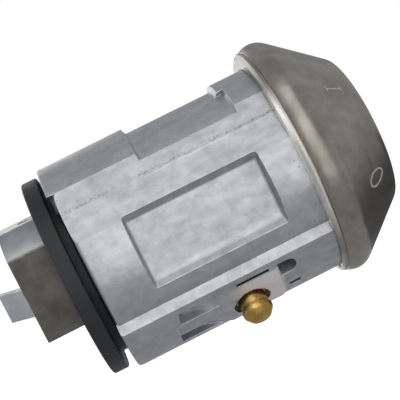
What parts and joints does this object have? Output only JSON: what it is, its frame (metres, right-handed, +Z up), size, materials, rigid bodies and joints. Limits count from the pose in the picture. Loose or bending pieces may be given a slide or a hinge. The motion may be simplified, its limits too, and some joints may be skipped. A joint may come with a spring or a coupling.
{
  "type": "ignition lock barrel",
  "caption": "Key-operated ignition lock barrel with a conical nickel cap, wafer plug, sprung detent pin and an off-centre drive tongue at the tail.",
  "frame": {"origin": "on the lock's axis at the rear face of the housing", "axes": "+X along the lock's axis towards the key side, +Z up, -Y towards the side with the rectangular pocket"},
  "size_m": [0.0524, 0.033, 0.0331],
  "materials": {
    "zinc": "bare zinc die casting, satin",
    "satin_nickel": "satin nickel plate",
    "plug_brass": "machined",
    "wafer_brass": "stamped",
    "spring_steel": "drawn wire",
    "trim_nickel": "polished nickel",
    "shutter_steel": "satin",
    "pin_steel": "ground",
    "detent_brass": "turned, polished",
    "black_plastic": "glass-filled nylon, matte",
    "driver_zinc": "bare zinc die casting, dull"
  },
  "bodies": {
    "barrel": {"housing": "zinc", "cap": "satin_nickel", "detent_spring": "spring_steel"},
    "rotor": {"plug": "plug_brass", "face_trim": "trim_nickel", "shutter_pin": "pin_steel", "shutter_spring": "spring_steel", "rear_disc": "black_plastic", "driver": "driver_zinc", "cross_pin": "pin_steel", "retaining_clip": "spring_steel", "wafer_spring_1": "spring_steel", "wafer_spring_2": "spring_steel", "wafer_spring_3": "spring_steel", "wafer_spring_4": "spring_steel", "wafer_spring_5": "spring_steel", "wafer_spring_6": "spring_steel", "wafer_spring_7": "spring_steel", "wafer_spring_8": "spring_steel"},
    "flap": {"shutter": "shutter_steel"},
    "catch": {"detent_pin": "detent_brass"},
    "wafer_body_1": {"wafer_1": "wafer_brass"},
    "wafer_body_2": {"wafer_2": "wafer_brass"},
    "wafer_body_3": {"wafer_3": "wafer_brass"},
    "wafer_body_4": {"wafer_4": "wafer_brass"},
    "wafer_body_5": {"wafer_5": "wafer_brass"},
    "wafer_body_6": {"wafer_6": "wafer_brass"},
    "wafer_body_7": {"wafer_7": "wafer_brass"},
    "wafer_body_8": {"wafer_8": "wafer_brass"}
  },
  "joints": [
    {"name": "plug_turn", "type": "hinge", "parent": "barrel", "child": "rotor", "pos_m": [0, 0, 0], "axis": [-1, 0, 0], "range_deg": [0, 126]},
    {"name": "detent_press", "type": "slide", "parent": "barrel", "child": "catch", "axis": [0, 0.4695, 0.8829], "range_m": [0, 0.0026], "stiffness_N_per_m": 120, "springref_m": -0.001, "deforming": ["detent_spring"]},
    {"name": "shutter_swing", "type": "hinge", "parent": "rotor", "child": "flap", "pos_m": [0.0383, 0.00155, -0.00227], "axis": [0, -0.8271, -0.5621], "range_deg": [0, 78], "stiffness_Nm_per_rad": 0.0002, "springref_deg": -17.19, "deforming": ["shutter_spring"]},
    {"name": "wafer_slide_1", "type": "slide", "parent": "rotor", "child": "wafer_body_1", "axis": [0, -0.8271, -0.5621], "range_m": [-0.0009, 0], "stiffness_N_per_m": 20, "springref_m": -0.0015, "deforming": ["wafer_spring_1"]},
    {"name": "wafer_slide_2", "type": "slide", "parent": "rotor", "child": "wafer_body_2", "axis": [0, 0.8271, 0.5621], "range_m": [-0.0009, 0], "stiffness_N_per_m": 20, "springref_m": -0.0015, "deforming": ["wafer_spring_2"]},
    {"name": "wafer_slide_3", "type": "slide", "parent": "rotor", "child": "wafer_body_3", "axis": [0, -0.8271, -0.5621], "range_m": [-0.0009, 0], "stiffness_N_per_m": 20, "springref_m": -0.0015, "deforming": ["wafer_spring_3"]},
    {"name": "wafer_slide_4", "type": "slide", "parent": "rotor", "child": "wafer_body_4", "axis": [0, 0.8271, 0.5621], "range_m": [-0.0009, 0], "stiffness_N_per_m": 20, "springref_m": -0.0015, "deforming": ["wafer_spring_4"]},
    {"name": "wafer_slide_5", "type": "slide", "parent": "rotor", "child": "wafer_body_5", "axis": [0, -0.8271, -0.5621], "range_m": [-0.0009, 0], "stiffness_N_per_m": 20, "springref_m": -0.0015, "deforming": ["wafer_spring_5"]},
    {"name": "wafer_slide_6", "type": "slide", "parent": "rotor", "child": "wafer_body_6", "axis": [0, 0.8271, 0.5621], "range_m": [-0.0009, 0], "stiffness_N_per_m": 20, "springref_m": -0.0015, "deforming": ["wafer_spring_6"]},
    {"name": "wafer_slide_7", "type": "slide", "parent": "rotor", "child": "wafer_body_7", "axis": [0, -0.8271, -0.5621], "range_m": [-0.0009, 0], "stiffness_N_per_m": 20, "springref_m": -0.0015, "deforming": ["wafer_spring_7"]},
    {"name": "wafer_slide_8", "type": "slide", "parent": "rotor", "child": "wafer_body_8", "axis": [0, 0.8271, 0.5621], "range_m": [-0.0009, 0], "stiffness_N_per_m": 20, "springref_m": -0.0015, "deforming": ["wafer_spring_8"]}
  ]
}
